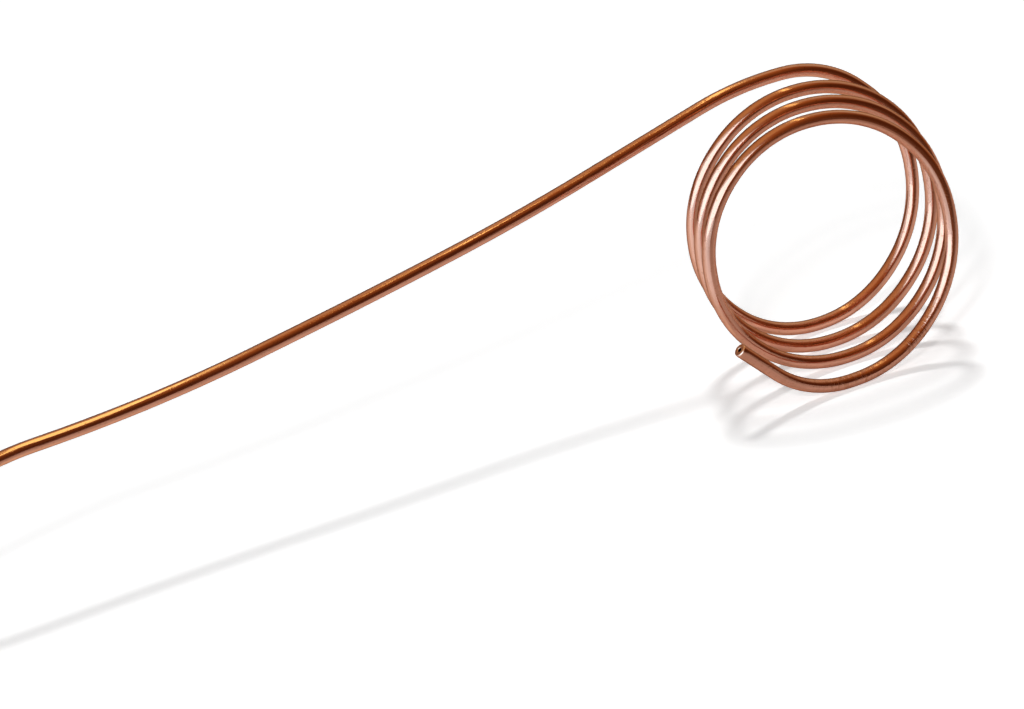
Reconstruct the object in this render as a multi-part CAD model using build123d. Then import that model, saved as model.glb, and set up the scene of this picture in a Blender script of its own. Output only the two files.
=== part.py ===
from build123d import *
import math
import os

# Sizes in millimetres. X runs along the tail, Y along the coil's axis, Z is up.
tube_diameter = 3.175
bore_diameter = 1.0
coil_radius = 30.0
coil_pitch = 14.0
tail_reach = 297.0
tail_swing = 38.0
free_run = 10.5

# The turns are bends between straight runs: eight bends a turn, each taking up almost half of a run.
bends_per_turn = 8
bend_count = 29
bend_share = 0.49

# How far each half turn comes forward along the axis, and over to the tail's side, from the tail's turn on.
step_shares = (0.60, 0.60, 0.30, 0.55, 0.30, 0.50, 0.55, 0.60)
drift_shares = (0.10, 0.05, 0.15, 0.15, 0.00, 0.30, 0.10, -0.10)

# Where the tail bends, from its cut end to the coil, how high it is there and how far it swings forward.
tail_run_shares = (0.90, 0.75, 0.56, 0.38, 0.24, 0.034)
tail_height_shares = (0.00, 0.55, 0.55, 0.665, 0.76, 0.995)
tail_swing_shares = (1.00, 0.82, 0.60, 0.40, 0.20, 0.00)

tube_radius = tube_diameter / 2
coil_height = 2 * coil_radius
coil_centre = tube_radius + coil_radius
corner_radius = coil_radius / math.cos(math.pi / bends_per_turn)
bends_per_half = bends_per_turn // 2


def tail_corners():
    """Return the tail's cut end and its bends, from the floor up to the top of the first turn."""
    corners = [Vector(-tail_reach, -tail_swing, tube_radius)]
    for run_share, height_share, swing_share in zip(tail_run_shares, tail_height_shares, tail_swing_shares):
        height = tube_radius + coil_height * height_share
        corners.append(Vector(-tail_reach * run_share, -tail_swing * swing_share, height))
    return corners


def coil_corners():
    """Return the bends of the standing turns and the free end, with each turn's lowest run on the floor."""
    corners = []
    forward = 0
    sideways = 0
    for bend in range(bend_count):
        half = bend // bends_per_half
        forward_step = coil_pitch * step_shares[half] / bends_per_half
        sideways_step = coil_pitch * drift_shares[half] / bends_per_half
        angle = 2 * math.pi * (bend + 1 / 2) / bends_per_turn
        x = corner_radius * math.sin(angle) - sideways - sideways_step / 2
        z = coil_centre + corner_radius * math.cos(angle)
        corners.append(Vector(x, -forward - forward_step / 2, z))
        forward += forward_step
        sideways += sideways_step
    angle = 2 * math.pi * bend_count / bends_per_turn
    last_touch = Vector(
        coil_radius * math.sin(angle) - sideways, -forward, coil_centre + coil_radius * math.cos(angle)
    )
    outward = (last_touch - corners[-1]).normalized()
    corners.append(last_touch + outward * free_run)
    return corners


def bend_radii(corners):
    """Return for each inner corner the largest bend that its two runs leave room for."""
    radii = []
    for before, corner, after in zip(corners, corners[1:], corners[2:]):
        run_in = corner - before
        run_out = after - corner
        turn = math.radians(run_in.get_angle(run_out))
        tangent = bend_share * min(run_in.length, run_out.length)
        radii.append(tangent / math.tan(turn / 2))
    return radii


def tube_path():
    """Return the tube's centre line from the tail's cut end to the coil's free end."""
    corners = tail_corners() + coil_corners()
    return FilletPolyline(*corners, radius=bend_radii(corners))


def copper_tube():
    """Return the drawn tube as one hollow solid, with the floor's centre under its box at the origin."""
    path = tube_path()
    section = Plane(origin=path @ 0, z_dir=path % 0) * (Circle(tube_radius) - Circle(bore_diameter / 2))
    tube = sweep(section, path=path.wire())
    box = tube.bounding_box()
    return Pos(-box.center().X, -box.center().Y, -box.min.Z) * tube


os.makedirs("parts", exist_ok=True)
export_step(copper_tube(), "parts/copper_tube.step")
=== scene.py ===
"""Dressed scene of an open coil of copper tube that stands on its turns on a white floor."""

import logging
import math
from dataclasses import dataclass, field
from enum import Enum
from typing import Any

import bpy
from mathutils import Matrix, Vector


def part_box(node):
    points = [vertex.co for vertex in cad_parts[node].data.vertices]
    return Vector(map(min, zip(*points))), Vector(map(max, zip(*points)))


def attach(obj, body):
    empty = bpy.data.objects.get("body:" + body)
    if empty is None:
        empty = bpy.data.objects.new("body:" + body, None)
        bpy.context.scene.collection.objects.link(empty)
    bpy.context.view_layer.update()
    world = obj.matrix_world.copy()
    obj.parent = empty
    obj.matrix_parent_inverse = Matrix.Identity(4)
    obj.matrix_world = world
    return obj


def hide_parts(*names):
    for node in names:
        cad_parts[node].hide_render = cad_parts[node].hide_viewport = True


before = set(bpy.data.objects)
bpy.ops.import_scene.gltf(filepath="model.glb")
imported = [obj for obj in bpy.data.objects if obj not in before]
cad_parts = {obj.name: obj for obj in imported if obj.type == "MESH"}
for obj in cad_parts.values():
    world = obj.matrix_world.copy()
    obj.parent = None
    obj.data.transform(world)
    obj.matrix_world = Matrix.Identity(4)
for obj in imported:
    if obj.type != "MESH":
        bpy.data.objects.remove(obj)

LOG = logging.getLogger("copper_coil")
MM = 0.001

Socket = bpy.types.NodeSocket
Colour = tuple[float, float, float]
Place = tuple[float, float, float]
Span = tuple[float, float]

WHITE: Colour = (1.0, 1.0, 1.0)
BLACK: Colour = (0.0, 0.0, 0.0)


class Part(Enum):
    """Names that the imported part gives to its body, node and material slot."""

    BODY = "root"
    NODE = "copper_tube"
    SLOT = "copper"


class Layer(Enum):
    """Names of the mesh layers that the tube's nodes store and its finish reads."""

    ALONG_ROUND = "along_round"
    INWARD = "inward"


class Graph:
    """A node tree that is filled one node at a time."""

    def __init__(self, tree: bpy.types.NodeTree) -> None:
        """Keep the tree to fill."""
        self.tree = tree

    def add(self, kind: str, settings: dict[str, Any] | None = None, **values: Any) -> bpy.types.Node:
        """Add one node.

        Args:
            kind: The node's type.
            settings: Properties of the node that are set before its sockets.
            values: What its inputs get, by their names with _ for a space: a socket or a plain value.

        Returns:
            The new node.
        """
        node = self.tree.nodes.new(kind)
        for name, value in (settings or {}).items():
            setattr(node, name, value)
        for name, value in values.items():
            self.put(node.inputs[name.replace("_", " ")], value)
        return node

    def put(self, target: Socket, value: Any) -> None:
        """Link a socket to the target, or set the target's value.

        Args:
            target: The input to feed.
            value: A socket, or a plain value.
        """
        if isinstance(value, Socket):
            self.tree.links.new(value, target)
        else:
            target.default_value = value

    def math(self, operation: str, *terms: Any, clamp: bool = False) -> Socket:
        """Add a math node.

        Args:
            operation: The node's operation.
            terms: Its terms, each a socket or a number.
            clamp: Whether the result is held between 0 and 1.

        Returns:
            The result's socket.
        """
        node = self.add("ShaderNodeMath", {"operation": operation, "use_clamp": clamp})
        for target, term in zip(node.inputs, terms):
            self.put(target, term)
        return node.outputs[0]

    def plus(self, first: Any, second: Any) -> Socket:
        """Return the sum of two numbers."""
        return self.math("ADD", first, second)

    def minus(self, first: Any, second: Any) -> Socket:
        """Return the first number less the second one."""
        return self.math("SUBTRACT", first, second)

    def times(self, first: Any, second: Any) -> Socket:
        """Return the product of two numbers."""
        return self.math("MULTIPLY", first, second)

    def total(self, start: float, *shares: tuple[Socket, float]) -> Socket:
        """Add shares of some numbers to a first one.

        Args:
            start: The first number.
            shares: The other numbers, each with its share.

        Returns:
            The sum's socket.
        """
        result: Any = start
        for value, share in shares:
            result = self.math("MULTIPLY_ADD", value, share, result)
        return result

    def vector(self, operation: str, *terms: Any) -> Socket:
        """Add a vector math node.

        Args:
            operation: The node's operation.
            terms: Its terms, each a socket or a vector.

        Returns:
            The result's socket, which is a number for a dot product.
        """
        node = self.add("ShaderNodeVectorMath", {"operation": operation})
        for target, term in zip(node.inputs, terms):
            self.put(target, term)
        return node.outputs["Value" if operation == "DOT_PRODUCT" else "Vector"]

    def scaled(self, vector: Socket, factor: Socket) -> Socket:
        """Return a vector times a number."""
        node = self.add("ShaderNodeVectorMath", {"operation": "SCALE"}, Vector=vector, Scale=factor)
        return node.outputs["Vector"]

    def span(self, value: Socket, start: Any, end: Any) -> Socket:
        """Return how far a number is on its way from a start to an end, from 0 to 1."""
        node = self.add("ShaderNodeMapRange", Value=value, From_Min=start, From_Max=end)
        return node.outputs["Result"]

    def blend(self, factor: Socket, first: Any, second: Any) -> Socket:
        """Blend two colours.

        Args:
            factor: How much of the second colour shows.
            first: The first colour, a socket or red, green and blue.
            second: The second colour, a socket or red, green and blue.

        Returns:
            The blended colour's socket.
        """
        node = self.add("ShaderNodeMix", {"data_type": "RGBA"}, Factor=factor)
        targets = [socket for socket in node.inputs if socket.type == "RGBA"]
        for target, colour in zip(targets, (first, second)):
            self.put(target, colour if isinstance(colour, Socket) else (*colour, 1.0))
        return next(socket for socket in node.outputs if socket.type == "RGBA")


def new_material(name: str) -> tuple[bpy.types.Material, Graph, bpy.types.Node]:
    """Make a material with one plain shader.

    Args:
        name: The material's name.

    Returns:
        The material, its tree and its shader.
    """
    material = bpy.data.materials.new(name)
    material.use_nodes = True
    return material, Graph(material.node_tree), material.node_tree.nodes["Principled BSDF"]


def new_object(name: str, data: bpy.types.ID) -> bpy.types.Object:
    """Make an object and link it to the scene.

    Args:
        name: The object's name.
        data: Its mesh, curve, lamp or camera.

    Returns:
        The object, at the origin.
    """
    thing = bpy.data.objects.new(name, data)
    bpy.context.scene.collection.objects.link(thing)
    return thing


def flat_sheet(name: str, width: float, height: float) -> bpy.types.Mesh:
    """Make a flat rectangle that faces up, with its middle at the origin.

    Args:
        name: The mesh's name.
        width: Its size along X.
        height: Its size along Y.

    Returns:
        The mesh.
    """
    x = width / 2
    y = height / 2
    mesh = bpy.data.meshes.new(name)
    mesh.from_pydata([(-x, -y, 0), (x, -y, 0), (x, y, 0), (-x, y, 0)], [], [(0, 1, 2, 3)])
    return mesh


class Skin:
    """The places on the tube that its finish reads."""

    def __init__(self, graph: Graph) -> None:
        """Add the nodes that read the tube's layers.

        Args:
            graph: The finish's tree.
        """
        self.graph = graph
        layer = graph.add("ShaderNodeUVMap", {"uv_map": Layer.ALONG_ROUND.value}).outputs["UV"]
        parts = graph.add("ShaderNodeSeparateXYZ", Vector=layer).outputs
        angle = graph.times(parts["Y"], 2 * math.pi)
        depth = graph.add("ShaderNodeAttribute", {"attribute_name": Layer.INWARD.value})
        self.along = parts["X"]
        self.ring_x = graph.math("COSINE", angle)
        self.ring_y = graph.math("SINE", angle)
        self.inward = depth.outputs["Fac"]
        self.solid = graph.add("ShaderNodeTexCoord").outputs["Object"]

    def wrapped(self, round_rate: float, along_rate: float) -> Socket:
        """Make a place that follows the tube's skin.

        Args:
            round_rate: How fast the place changes round the tube.
            along_rate: How fast it changes along the tube.

        Returns:
            The place's socket.
        """
        node = self.graph.add(
            "ShaderNodeCombineXYZ",
            X=self.graph.times(self.ring_x, round_rate),
            Y=self.graph.times(self.ring_y, round_rate),
            Z=self.graph.times(self.along, along_rate),
        )
        return node.outputs["Vector"]


@dataclass(frozen=True)
class Pattern:
    """Noise of one grain, whose tones from low to high are stretched to run from 0 to 1."""

    scale: float
    detail: float
    low: float
    high: float

    def make(self, graph: Graph, place: Socket) -> Socket:
        """Return the pattern's tone at a place."""
        noise = graph.add("ShaderNodeTexNoise", Vector=place, Scale=self.scale, Detail=self.detail)
        return graph.span(noise.outputs[0], self.low, self.high)


@dataclass(frozen=True)
class CopperFinish:
    """Bright drawn copper: fine lines along it, a brown bloom and rub marks near the free end."""

    name: str = "bright_drawn_copper"
    bright: Colour = (0.78, 0.38, 0.26)
    bloom: Colour = (0.50, 0.20, 0.10)
    cut: Colour = (0.86, 0.52, 0.38)
    bore: Colour = (0.16, 0.06, 0.03)
    limb: Colour = (0.30, 0.20, 0.15)

    lines: Pattern = Pattern(3.2, 3.0, 0.30, 0.70)
    line_round_rate: float = 1.0
    line_along_rate: float = 22.0
    clouds: Pattern = Pattern(55.0, 3.0, 0.40, 0.75)
    specks: Pattern = Pattern(1500.0, 1.0, 0.60, 0.80)
    saw_marks: Pattern = Pattern(6000.0, 1.0, 0.0, 1.0)

    # Where the rub marks set in and fade out, in metres along the tube from the tail's cut end.
    rub_start: Span = (0.925, 0.955)
    rub_end: Span = (0.988, 1.003)
    rub_lines: Pattern = Pattern(1.6, 2.0, 0.46, 0.64)
    rub_round_rate: float = 0.5
    rub_along_rate: float = 900.0
    rub_patches: Pattern = Pattern(85.0, 1.0, 0.40, 0.58)

    # How far inward the cut and the bore begin and end, from 0 on the outside to 1 in the bore.
    cut_start: Span = (0.02, 0.06)
    cut_end: Span = (0.94, 0.98)
    bore_start: Span = (0.95, 0.99)

    # How much each mark browns the copper, then how much it dulls it, then how high it stands.
    cloud_bloom_share: float = 0.20
    speck_bloom_share: float = 0.50
    line_bloom_share: float = 0.20
    rub_bloom_share: float = 0.75

    polish: float = 0.05
    line_dulling: float = 0.07
    bloom_dulling: float = 0.12
    rub_dulling: float = 0.20
    cut_dulling: float = 0.12

    line_relief: float = 0.55
    saw_relief: float = 0.80
    rub_relief: float = -0.60
    speck_relief: float = -0.30
    relief_strength: float = 0.5
    relief_depth: float = 0.08 * MM

    def make(self) -> bpy.types.Material:
        """Make the finish as a material that reads the tube's own layers.

        Returns:
            The material.
        """
        material, graph, shader = new_material(self.name)
        skin = Skin(graph)
        lines = self.lines.make(graph, skin.wrapped(self.line_round_rate, self.line_along_rate))
        clouds = self.clouds.make(graph, skin.solid)
        specks = self.specks.make(graph, skin.solid)
        rub = self.rub_marks(graph, skin)
        past_edge = graph.span(skin.inward, *self.cut_start)
        before_bore = graph.span(skin.inward, *reversed(self.cut_end))
        on_cut = graph.times(past_edge, before_bore)

        bloom = graph.total(
            0.0,
            (clouds, self.cloud_bloom_share),
            (specks, self.speck_bloom_share),
            (lines, self.line_bloom_share),
        )
        colour = graph.blend(bloom, self.bright, self.bloom)
        colour = graph.blend(graph.times(rub, self.rub_bloom_share), colour, self.bloom)
        colour = graph.blend(on_cut, colour, self.cut)
        colour = graph.blend(graph.span(skin.inward, *self.bore_start), colour, self.bore)
        graph.put(shader.inputs["Base Color"], colour)

        rough = graph.total(
            self.polish,
            (lines, self.line_dulling),
            (bloom, self.bloom_dulling),
            (rub, self.rub_dulling),
            (on_cut, self.cut_dulling),
        )
        graph.put(shader.inputs["Roughness"], rough)
        shader.inputs["Metallic"].default_value = 1.0
        shader.inputs["Specular Tint"].default_value = (*self.limb, 1.0)

        saw_marks = graph.times(self.saw_marks.make(graph, skin.solid), on_cut)
        relief = graph.total(
            0.0,
            (lines, self.line_relief),
            (saw_marks, self.saw_relief),
            (rub, self.rub_relief),
            (specks, self.speck_relief),
        )
        bump = graph.add(
            "ShaderNodeBump",
            Strength=self.relief_strength,
            Distance=self.relief_depth,
            Height=relief,
        )
        graph.put(shader.inputs["Normal"], bump.outputs["Normal"])
        return material

    def rub_marks(self, graph: Graph, skin: Skin) -> Socket:
        """Add the rub marks across the tube near its free end.

        Args:
            graph: The finish's tree.
            skin: The places on the tube.

        Returns:
            The socket of the marks' strength, from 0 to 1.
        """
        lines = self.rub_lines.make(graph, skin.wrapped(self.rub_round_rate, self.rub_along_rate))
        patches = self.rub_patches.make(graph, skin.solid)
        started = graph.span(skin.along, *self.rub_start)
        not_ended = graph.span(skin.along, *reversed(self.rub_end))
        zone = graph.times(started, not_ended)
        return graph.times(graph.times(zone, patches), lines)


@dataclass(frozen=True)
class CoilRoute:
    """The tube's centre line in metres: a tail that rises from the floor, and uneven standing turns."""

    tube_radius: float = 1.5875 * MM
    coil_radius: float = 30.0 * MM
    coil_pitch: float = 14.0 * MM
    tail_reach: float = 297.0 * MM
    tail_swing: float = 38.0 * MM
    free_run: float = 10.5 * MM
    bends_per_turn: int = 8
    bend_count: int = 29
    bend_share: float = 0.49

    # How much of the pitch each half turn comes forward along the axis, and over to the tail's side.
    step_shares: tuple[float, ...] = (0.60, 0.60, 0.30, 0.55, 0.30, 0.50, 0.55, 0.60)
    drift_shares: tuple[float, ...] = (0.10, 0.05, 0.15, 0.15, 0.00, 0.30, 0.10, -0.10)

    # Where the tail bends, from its cut end on, how high it is there and how far it swings forward.
    tail_run_shares: tuple[float, ...] = (0.90, 0.75, 0.56, 0.38, 0.24, 0.034)
    tail_height_shares: tuple[float, ...] = (0.00, 0.55, 0.55, 0.665, 0.76, 0.995)
    tail_swing_shares: tuple[float, ...] = (1.00, 0.82, 0.60, 0.40, 0.20, 0.00)

    def tail(self) -> list[Vector]:
        """List the tail's cut end and its bends.

        Returns:
            The corners, from the floor up to the first turn.
        """
        corners = [Vector((-self.tail_reach, -self.tail_swing, self.tube_radius))]
        shares = zip(self.tail_run_shares, self.tail_height_shares, self.tail_swing_shares)
        for run, height, swing in shares:
            up = self.tube_radius + 2 * self.coil_radius * height
            corners.append(Vector((-self.tail_reach * run, -self.tail_swing * swing, up)))
        return corners

    def coil(self) -> list[Vector]:
        """List the bends of the turns and the free end.

        Returns:
            The corners, from the turn that the tail leaves to the free end.
        """
        per_half = self.bends_per_turn // 2
        corner_radius = self.coil_radius / math.cos(math.pi / self.bends_per_turn)
        middle = Vector((0.0, 0.0, self.tube_radius + self.coil_radius))
        here = Vector((0.0, 0.0, 0.0))
        corners = []
        for bend in range(self.bend_count):
            half = bend // per_half
            shares = Vector((-self.drift_shares[half], -self.step_shares[half], 0.0))
            step = shares * (self.coil_pitch / per_half)
            corners.append(middle + here + step / 2 + self.spoke(bend + 0.5) * corner_radius)
            here += step
        touch = middle + here + self.spoke(self.bend_count) * self.coil_radius
        corners.append(touch + (touch - corners[-1]).normalized() * self.free_run)
        return corners

    def spoke(self, bend: float) -> Vector:
        """Return the direction from a turn's middle to a place on it, counted in bends from the top."""
        angle = 2 * math.pi * bend / self.bends_per_turn
        return Vector((math.sin(angle), 0.0, math.cos(angle)))

    def bend_radius(self, before: Vector, corner: Vector, after: Vector) -> float:
        """Work out the bend that the two runs at a corner leave room for.

        Args:
            before: The corner before.
            corner: The corner to bend.
            after: The corner after.

        Returns:
            The radius of the bend.
        """
        run_in = corner - before
        run_out = after - corner
        tangent = self.bend_share * min(run_in.length, run_out.length)
        return tangent / math.tan(run_in.angle(run_out) / 2)

    def curve(self, name: str) -> bpy.types.Object:
        """Make the corners as a curve whose points carry their bend radii.

        Args:
            name: The curve's name.

        Returns:
            The curve object, linked to the scene.
        """
        corners = self.tail() + self.coil()
        data = bpy.data.curves.new(name, "CURVE")
        data.dimensions = "3D"
        spline = data.splines.new("POLY")
        spline.points.add(len(corners) - 1)
        for point, corner in zip(spline.points, corners):
            point.co = (*corner, 1.0)
            point.radius = 0.0
        for point, near in zip(spline.points[1:], zip(corners, corners[1:], corners[2:])):
            point.radius = self.bend_radius(*near)
        return new_object(name, data)


@dataclass(frozen=True)
class TubeNodes:
    """Geometry nodes that draw a hollow tube with rounded cut ends along a bent curve."""

    name: str = "drawn_tube"
    outer_rows: int = 760
    cap_rows: int = 22
    bore_rows: int = 380
    columns: int = 36
    bend_steps: int = 24
    route_steps: int = 3000
    seam_gap: float = 0.0005 * MM

    def make(self) -> bpy.types.NodeTree:
        """Make the node tree, with the tube's sizes as its inputs.

        Returns:
            The tree.
        """
        tree = bpy.data.node_groups.new(self.name, "GeometryNodeTree")
        face = tree.interface
        face.new_socket("Geometry", in_out="INPUT", socket_type="NodeSocketGeometry")
        for label in ("Tube radius", "Bore radius", "Edge radius", "Mouth radius"):
            face.new_socket(label, in_out="INPUT", socket_type="NodeSocketFloat")
        for label in ("Outer rows", "Cap rows", "Bore rows", "Columns"):
            face.new_socket(label, in_out="INPUT", socket_type="NodeSocketInt")
        face.new_socket("Finish", in_out="INPUT", socket_type="NodeSocketMaterial")
        face.new_socket("Geometry", in_out="OUTPUT", socket_type="NodeSocketGeometry")
        self.fill(Graph(tree))
        return tree

    def fill(self, graph: Graph) -> None:
        """Fill the tree: a grid is rolled up along the route and goes back through the bore to its start.

        Args:
            graph: The tree to fill.
        """
        given = graph.add("NodeGroupInput").outputs
        route = self.bend(graph, given["Geometry"])
        length = graph.add("GeometryNodeCurveLength", Curve=route).outputs["Length"]

        to_cap = given["Outer rows"]
        to_bore = graph.plus(to_cap, given["Cap rows"])
        to_back = graph.plus(to_bore, given["Bore rows"])
        rows = graph.plus(to_back, given["Cap rows"])
        grid = graph.add(
            "GeometryNodeMeshGrid",
            Size_X=1.0,
            Size_Y=1.0,
            Vertices_X=graph.plus(rows, 1.0),
            Vertices_Y=graph.plus(given["Columns"], 1.0),
        )
        place = graph.add("ShaderNodeSeparateXYZ", Vector=grid.outputs["UV Map"]).outputs
        row = graph.times(place["X"], rows)
        share = graph.minus(graph.span(row, 0.0, to_cap), graph.span(row, to_bore, to_back))
        inward = graph.minus(graph.span(row, to_cap, to_bore), graph.span(row, to_back, rows))
        wall = graph.minus(given["Tube radius"], given["Bore radius"])
        radius = graph.minus(given["Tube radius"], graph.times(wall, inward))
        from_edge = graph.minus(given["Tube radius"], radius)
        from_mouth = graph.minus(radius, given["Bore radius"])
        edge = self.rounding(graph, from_edge, given["Edge radius"])
        mouth = self.rounding(graph, from_mouth, given["Mouth radius"])
        inset = graph.plus(edge, mouth)
        inner = graph.minus(length, graph.times(inset, 2.0))
        along = graph.plus(inset, graph.times(inner, share))

        sample = graph.add("GeometryNodeSampleCurve", {"mode": "LENGTH"}, Curves=route, Length=along)
        line = sample.outputs
        angle = graph.times(place["Y"], 2 * math.pi)
        side = graph.vector("CROSS_PRODUCT", line["Tangent"], line["Normal"])
        out_x = graph.scaled(line["Normal"], graph.times(radius, graph.math("COSINE", angle)))
        out_y = graph.scaled(side, graph.times(radius, graph.math("SINE", angle)))
        spot = graph.vector("ADD", line["Position"], graph.vector("ADD", out_x, out_y))
        skin = graph.add("GeometryNodeSetPosition", Geometry=grid.outputs["Mesh"], Position=spot)

        along_round = graph.add("ShaderNodeCombineXYZ", X=along, Y=place["Y"]).outputs["Vector"]
        layers = (
            (Layer.ALONG_ROUND, "FLOAT2", "CORNER", along_round),
            (Layer.INWARD, "FLOAT", "POINT", inward),
        )
        for layer, data_type, domain, value in layers:
            skin = graph.add(
                "GeometryNodeStoreNamedAttribute",
                {"data_type": data_type, "domain": domain},
                Geometry=skin.outputs[0],
                Name=layer.value,
                Value=value,
            )
        skin = graph.add("GeometryNodeMergeByDistance", Geometry=skin.outputs[0], Distance=self.seam_gap)
        skin = graph.add("GeometryNodeSetShadeSmooth", Geometry=skin.outputs[0])
        skin = graph.add("GeometryNodeRealizeInstances", Geometry=skin.outputs[0])
        skin = graph.add("GeometryNodeSetMaterial", Geometry=skin.outputs[0], Material=given["Finish"])
        graph.add("NodeGroupOutput", Geometry=skin.outputs[0])

    def bend(self, graph: Graph, corners: Socket) -> Socket:
        """Bend the corners and divide the route evenly.

        Args:
            graph: The tree to fill.
            corners: The curve through the corners.

        Returns:
            The route's socket.
        """
        bent = graph.add(
            "GeometryNodeFilletCurve",
            {"mode": "POLY"},
            Curve=corners,
            Count=self.bend_steps,
            Radius=graph.add("GeometryNodeInputRadius").outputs["Radius"],
        )
        route = graph.add(
            "GeometryNodeResampleCurve",
            {"mode": "COUNT"},
            Curve=bent.outputs[0],
            Count=self.route_steps,
        )
        return route.outputs[0]

    def rounding(self, graph: Graph, depth: Socket, radius: Socket) -> Socket:
        """Work out how far a rounded rim falls back from the cut.

        Args:
            graph: The tree to fill.
            depth: How far a place lies from the rim.
            radius: The radius of the rounding.

        Returns:
            The set-back's socket.
        """
        rise = graph.math("SUBTRACT", 1.0, graph.math("DIVIDE", depth, radius), clamp=True)
        flat = graph.math("SQRT", graph.minus(1.0, graph.times(rise, rise)))
        return graph.times(radius, graph.minus(1.0, flat))


@dataclass
class CopperCoil:
    """The coil: one length of drawn copper tube, with its bore open at both cut ends."""

    name: str = "tube_coil"
    bore_radius: float = 0.5 * MM
    edge_radius: float = 0.36 * MM
    mouth_radius: float = 0.20 * MM
    skin_gap: float = 0.008 * MM
    route: CoilRoute = field(default_factory=CoilRoute)
    nodes: TubeNodes = field(default_factory=TubeNodes)
    finish: CopperFinish = field(default_factory=CopperFinish)

    def build(self) -> bpy.types.Object:
        """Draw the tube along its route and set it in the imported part's box.

        Returns:
            The piece.
        """
        mesh = self.draw()
        low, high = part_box(Part.NODE.value)
        spots = [vertex.co for vertex in mesh.vertices]
        least = Vector(min(spot[axis] for spot in spots) for axis in range(3))
        most = Vector(max(spot[axis] for spot in spots) for axis in range(3))
        move = (low + high) / 2 - (least + most) / 2
        mesh.transform(Matrix.Translation(move))
        mesh.update()
        return new_object(self.name, mesh)

    def draw(self) -> bpy.types.Mesh:
        """Run the tube's nodes on its route.

        Returns:
            The plain mesh.
        """
        curve = self.route.curve(self.name + "_route")
        modifier = curve.modifiers.new(self.nodes.name, "NODES")
        modifier.node_group = self.nodes.make()
        values = {
            "Tube radius": self.route.tube_radius - self.skin_gap,
            "Bore radius": self.bore_radius,
            "Edge radius": self.edge_radius,
            "Mouth radius": self.mouth_radius,
            "Outer rows": self.nodes.outer_rows,
            "Cap rows": self.nodes.cap_rows,
            "Bore rows": self.nodes.bore_rows,
            "Columns": self.nodes.columns,
            "Finish": self.finish.make(),
        }
        for item in modifier.node_group.interface.items_tree:
            if item.in_out == "INPUT" and item.name in values:
                modifier[item.identifier] = values[item.name]
        graph = bpy.context.evaluated_depsgraph_get()
        mesh = bpy.data.meshes.new_from_object(curve.evaluated_get(graph))
        mesh.name = self.name
        curve.modifiers.remove(modifier)
        bpy.data.objects.remove(curve)
        return mesh

    def dress(self, piece: bpy.types.Object) -> None:
        """Tie the piece to the part's body, and hide the part's own mesh of the node in its place.

        Args:
            piece: The tube's mesh object.
        """
        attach(piece, Part.BODY.value)
        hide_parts(Part.NODE.value)


@dataclass(frozen=True)
class Sun:
    """A distant soft lamp that lights the floor and casts the shadows, and isn't mirrored."""

    name: str
    strength: float
    toward: Place
    angle: float

    def make(self) -> None:
        """Make the lamp."""
        data = bpy.data.lights.new(self.name, "SUN")
        data.energy = self.strength
        data.angle = math.radians(self.angle)
        lamp = new_object(self.name, data)
        lamp.rotation_mode = "QUATERNION"
        lamp.rotation_quaternion = Vector(self.toward).to_track_quat("Z", "Y")
        lamp.visible_glossy = False


@dataclass(frozen=True)
class Card:
    """A glowing card beside the set, which only shows where it is mirrored."""

    name: str
    place: Place
    width: float
    height: float
    glow: Colour
    faces: Place | None = None

    def make(self, aim: Vector) -> None:
        """Make the card.

        Args:
            aim: The place that the card faces if it has no direction of its own.
        """
        paint, _, shader = new_material(self.name)
        shader.inputs["Base Color"].default_value = (*BLACK, 1.0)
        shader.inputs["Specular IOR Level"].default_value = 0.0
        shader.inputs["Emission Color"].default_value = (*self.glow, 1.0)
        shader.inputs["Emission Strength"].default_value = 1.0
        mesh = flat_sheet(self.name, self.width, self.height)
        mesh.materials.append(paint)
        card = new_object(self.name, mesh)
        card.location = self.place
        card.rotation_mode = "QUATERNION"
        way = Vector(self.faces) if self.faces else aim - Vector(self.place)
        card.rotation_quaternion = way.to_track_quat("Z", "Y")
        card.visible_camera = False
        card.visible_diffuse = False
        card.visible_shadow = False


@dataclass(frozen=True)
class RoomSide:
    """A side of the room, whose colour sets in from start to end as a direction turns to its pole."""

    pole: Place
    start: float
    end: float
    colour: Colour

    def over(self, graph: Graph, way: Socket, base: Any) -> Socket:
        """Return the room's colour in a direction, with this side laid over the colour so far."""
        facing = graph.vector("DOT_PRODUCT", way, Vector(self.pole).normalized())
        return graph.blend(graph.span(facing, self.start, self.end), base, self.colour)


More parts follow.
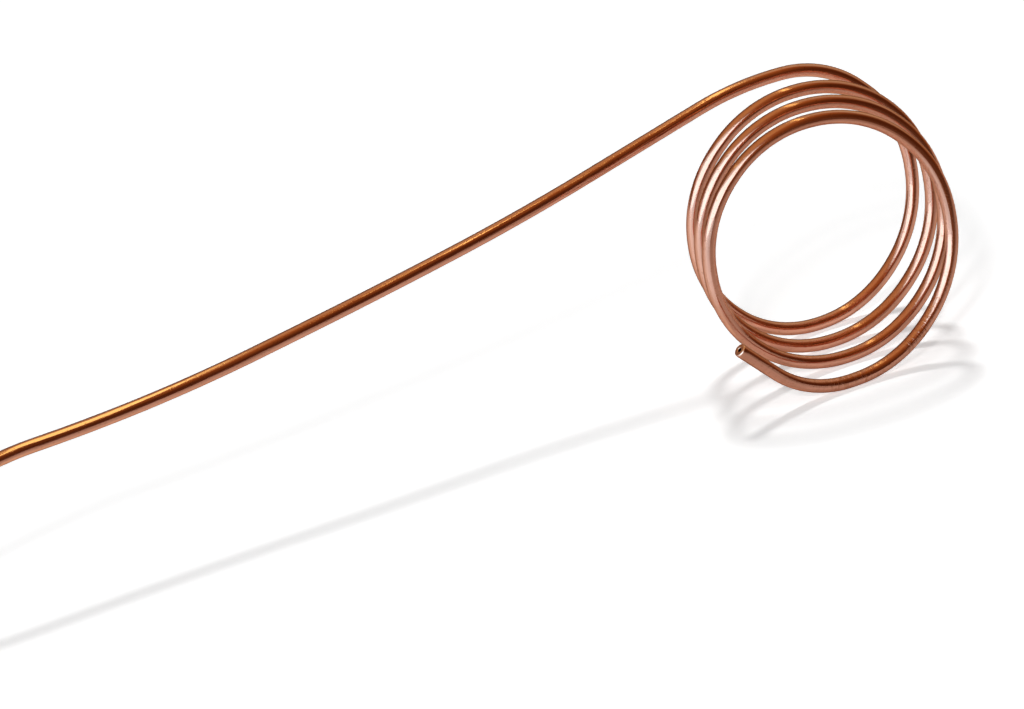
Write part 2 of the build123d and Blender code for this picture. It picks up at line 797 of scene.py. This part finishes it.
@dataclass(frozen=True)
class Studio:
    """A white floor under soft light, with a bright window at the left and a dim warm room round it."""

    floor_width: float = 18.0
    floor_paint: Colour = (0.80, 0.80, 0.80)
    floor_polish: float = 0.20
    floor_density: float = 2.0

    # The floor's glow for the camera, and its glow, sheen and fade to the front in the copper.
    floor_glow: float = 0.54
    floor_mirror: float = 0.30
    floor_sheen: float = 0.9
    floor_fade: Span = (0.01, -0.16)
    floor_dim: Colour = (0.22, 0.12, 0.07)

    # The room as the copper mirrors it: the left side, and the others laid over it in this order.
    left_side: Colour = (0.47, 0.40, 0.33)
    far_side: RoomSide = RoomSide((-0.42, 0.91, 0.0), 0.20, 0.70, (0.22, 0.13, 0.08))
    overhead: RoomSide = RoomSide((0.0, 0.0, 1.0), 0.48, 0.96, (0.61, 0.385, 0.165))
    near_warm: RoomSide = RoomSide((0.69, -0.72, 0.10), 0.20, 0.50, (0.36, 0.14, 0.035))
    near_dark: RoomSide = RoomSide((0.69, -0.72, 0.10), 0.55, 0.95, (0.090, 0.030, 0.011))
    far_right: RoomSide = RoomSide((0.68, 0.48, 0.55), 0.70, 1.00, (0.62, 0.60, 0.46))

    suns: tuple[Sun, ...] = (
        Sun("top_light", 1.65, (0.20, 0.48, 1.0), 9.0),
        Sun("side_light", 1.00, (-0.89, -1.33, 1.0), 6.0),
    )
    cards: tuple[Card, ...] = (
        Card("window", (-0.540, -0.496, 0.275), 1.16, 0.66, (1.8, 2.6, 3.4)),
        Card("window_glow", (-0.685, -0.410, 0.324), 1.97, 1.01, (0.85, 1.10, 1.30)),
        Card("room_lamp", (0.255, 0.13, 0.70), 0.62, 0.036, (2.6, 2.5, 1.05), (-0.18, 0.0, -0.98)),
        Card("tail_lamp", (-0.012, -0.010, 0.190), 0.15, 0.06, (1.8, 1.85, 0.80), (-0.73, 0.0, -0.68)),
    )

    def build(self, aim: Vector) -> None:
        """Build the floor, the lamps, the cards and the room.

        Args:
            aim: The place that the cards face.
        """
        self.floor()
        for sun in self.suns:
            sun.make()
        for card in self.cards:
            card.make(aim)
        self.room()

    def floor(self) -> None:
        """Make a plain white floor that keeps the object's shadow and is dimmer in the copper."""
        paint, graph, shader = new_material("floor_white")
        shader.inputs["Roughness"].default_value = self.floor_polish
        shader.inputs["IOR"].default_value = self.floor_density
        shader.inputs["Emission Color"].default_value = (*WHITE, 1.0)
        rays = graph.add("ShaderNodeLightPath").outputs
        mirrored = graph.math("MAXIMUM", rays["Is Glossy Ray"], rays["Is Transmission Ray"])
        place = graph.add("ShaderNodeTexCoord").outputs["Object"]
        forward = graph.add("ShaderNodeSeparateXYZ", Vector=place).outputs["Y"]
        dim = graph.times(mirrored, graph.span(forward, *self.floor_fade))
        bright = graph.minus(mirrored, dim)
        glow = graph.total(0.0, (rays["Is Camera Ray"], self.floor_glow), (bright, self.floor_mirror))
        graph.put(shader.inputs["Base Color"], graph.blend(dim, self.floor_paint, self.floor_dim))
        graph.put(shader.inputs["Specular IOR Level"], graph.times(mirrored, self.floor_sheen))
        graph.put(shader.inputs["Emission Strength"], glow)
        mesh = flat_sheet("floor", self.floor_width, self.floor_width)
        mesh.materials.append(paint)
        new_object("floor", mesh)

    def room(self) -> None:
        """Make the room: white for the camera, and dim and warm where the copper mirrors it."""
        world = bpy.data.worlds.new("room")
        bpy.context.scene.world = world
        world.use_nodes = True
        world.cycles_visibility.diffuse = False
        graph = Graph(world.node_tree)
        way = graph.add("ShaderNodeTexCoord").outputs["Generated"]
        colour: Any = self.left_side
        for side in (self.far_side, self.overhead, self.near_warm, self.near_dark, self.far_right):
            colour = side.over(graph, way, colour)
        seen = graph.add("ShaderNodeLightPath").outputs["Is Camera Ray"]
        backdrop = world.node_tree.nodes["Background"]
        graph.put(backdrop.inputs["Color"], graph.blend(seen, colour, WHITE))


@dataclass(frozen=True)
class PhotoCamera:
    """The camera, placed round a point near the tube and turned on its own axis."""

    target: Place = (0.05513, 0.01978, 0.01512)
    azimuth: float = 18.51
    elevation: float = 19.85
    roll: float = 10.04
    distance: float = 0.900
    lens: float = 137.1
    sensor: float = 36.0
    sight: float = 100.0

    def build(self) -> None:
        """Make the camera and give it to the scene."""
        data = bpy.data.cameras.new("camera")
        data.sensor_fit = "HORIZONTAL"
        data.sensor_width = self.sensor
        data.lens = self.lens
        data.clip_end = self.sight
        turn = math.radians(self.azimuth)
        rise = math.radians(self.elevation)
        flat = math.cos(rise)
        back = Vector((-math.sin(turn) * flat, -math.cos(turn) * flat, math.sin(rise)))
        level = (-back).to_track_quat("-Z", "Y").to_matrix()
        tilt = Matrix.Rotation(-math.radians(self.roll), 3, "Z")
        place = Matrix.Translation(Vector(self.target) + back * self.distance)
        camera = new_object("camera", data)
        camera.matrix_world = place @ (level @ tilt).to_4x4()
        bpy.context.scene.camera = camera


def main() -> None:
    """Build the coil, its studio and its camera."""
    logging.basicConfig(level=logging.INFO, format="%(message)s")
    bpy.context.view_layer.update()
    coil = CopperCoil()
    piece = coil.build()
    coil.dress(piece)
    LOG.info("%s: %d faces", piece.name, len(piece.data.polygons))
    low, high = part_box(Part.NODE.value)
    radius = coil.route.coil_radius
    Studio().build(Vector((high.x - radius, (low.y + high.y) / 2, radius)))
    LOG.info("studio")
    PhotoCamera().build()
    LOG.info("camera")
    bpy.context.scene.view_settings.view_transform = "Standard"


if __name__ == "__main__":
    main()
